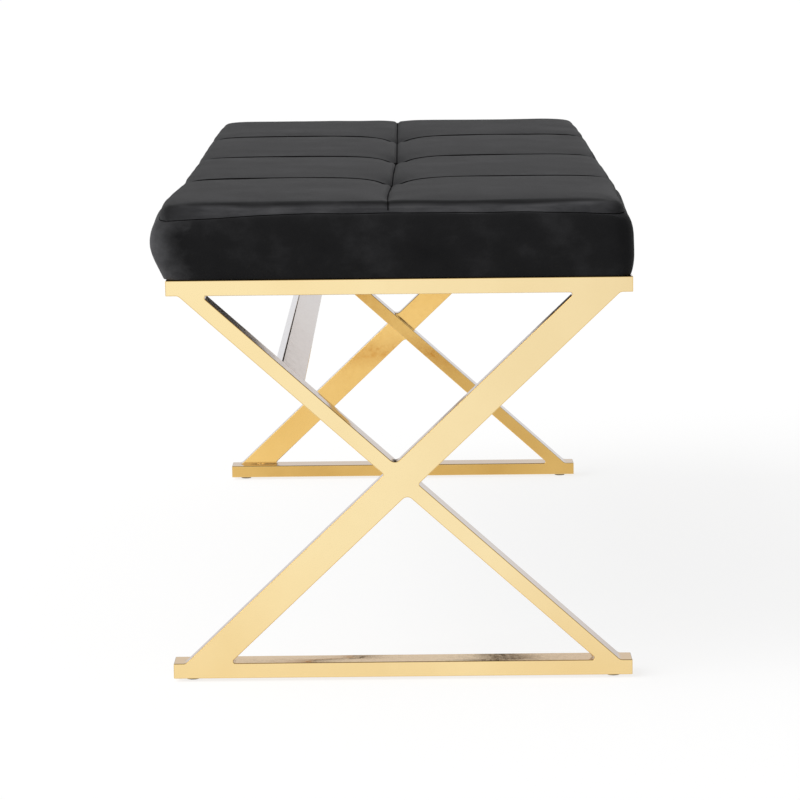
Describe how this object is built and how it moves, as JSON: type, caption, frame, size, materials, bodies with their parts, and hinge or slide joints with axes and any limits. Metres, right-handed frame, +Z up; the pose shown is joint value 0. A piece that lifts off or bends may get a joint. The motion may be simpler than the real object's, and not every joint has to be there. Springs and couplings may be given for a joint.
{
  "type": "entry bench",
  "caption": "Entry bench: tufted black velvet seat on gold X-shaped end frames of rectangular tube, tied by a stretcher and standing on small screw-in glides.",
  "frame": {"origin": "on the floor, under the middle of the bench", "axes": "+X across the bench, to the right in the picture; +Y along the bench, away from the camera; +Z up"},
  "size_m": [0.466, 1.11, 0.4748],
  "materials": {
    "gold_metal": "polished",
    "velvet": "matte",
    "glide_plastic": "satin",
    "zinc_steel": "satin",
    "plywood": "matte",
    "foam": "matte",
    "dust_cloth": "matte",
    "twine": "matte"
  },
  "bodies": {
    "bench": {"dust_cover": "dust_cloth", "far_bottom_rail": "gold_metal", "far_glide_bushes": "zinc_steel", "far_narrow_leg": "gold_metal", "far_rail_end_caps": "gold_metal", "far_top_rail": "gold_metal", "far_weld_fillets": "gold_metal", "far_wide_leg": "gold_metal", "foam_core": "foam", "near_bottom_rail": "gold_metal", "near_glide_bushes": "zinc_steel", "near_narrow_leg": "gold_metal", "near_rail_end_caps": "gold_metal", "near_top_rail": "gold_metal", "near_weld_fillets": "gold_metal", "near_wide_leg": "gold_metal", "seat_board": "plywood", "seat_bolt_washers": "zinc_steel", "seat_bolts": "zinc_steel", "staples": "zinc_steel", "stretcher": "gold_metal", "tee_nuts": "zinc_steel", "tuft_anchors": "zinc_steel", "tuft_ties": "twine", "velvet_cover": "velvet"},
    "near_left_glide": {"near_left_glide_pad": "glide_plastic", "near_left_glide_stem": "zinc_steel"},
    "near_right_glide": {"near_right_glide_pad": "glide_plastic", "near_right_glide_stem": "zinc_steel"},
    "far_left_glide": {"far_left_glide_pad": "glide_plastic", "far_left_glide_stem": "zinc_steel"},
    "far_right_glide": {"far_right_glide_pad": "glide_plastic", "far_right_glide_stem": "zinc_steel"}
  },
  "joints": [
    {"name": "near_left_glide_screw", "type": "slide", "parent": "bench", "child": "near_left_glide", "axis": [0, 0, -1], "range_m": [0, 0.005]},
    {"name": "near_right_glide_screw", "type": "slide", "parent": "bench", "child": "near_right_glide", "axis": [0, 0, -1], "range_m": [0, 0.005]},
    {"name": "far_left_glide_screw", "type": "slide", "parent": "bench", "child": "far_left_glide", "axis": [0, 0, -1], "range_m": [0, 0.005]},
    {"name": "far_right_glide_screw", "type": "slide", "parent": "bench", "child": "far_right_glide", "axis": [0, 0, -1], "range_m": [0, 0.005]}
  ]
}
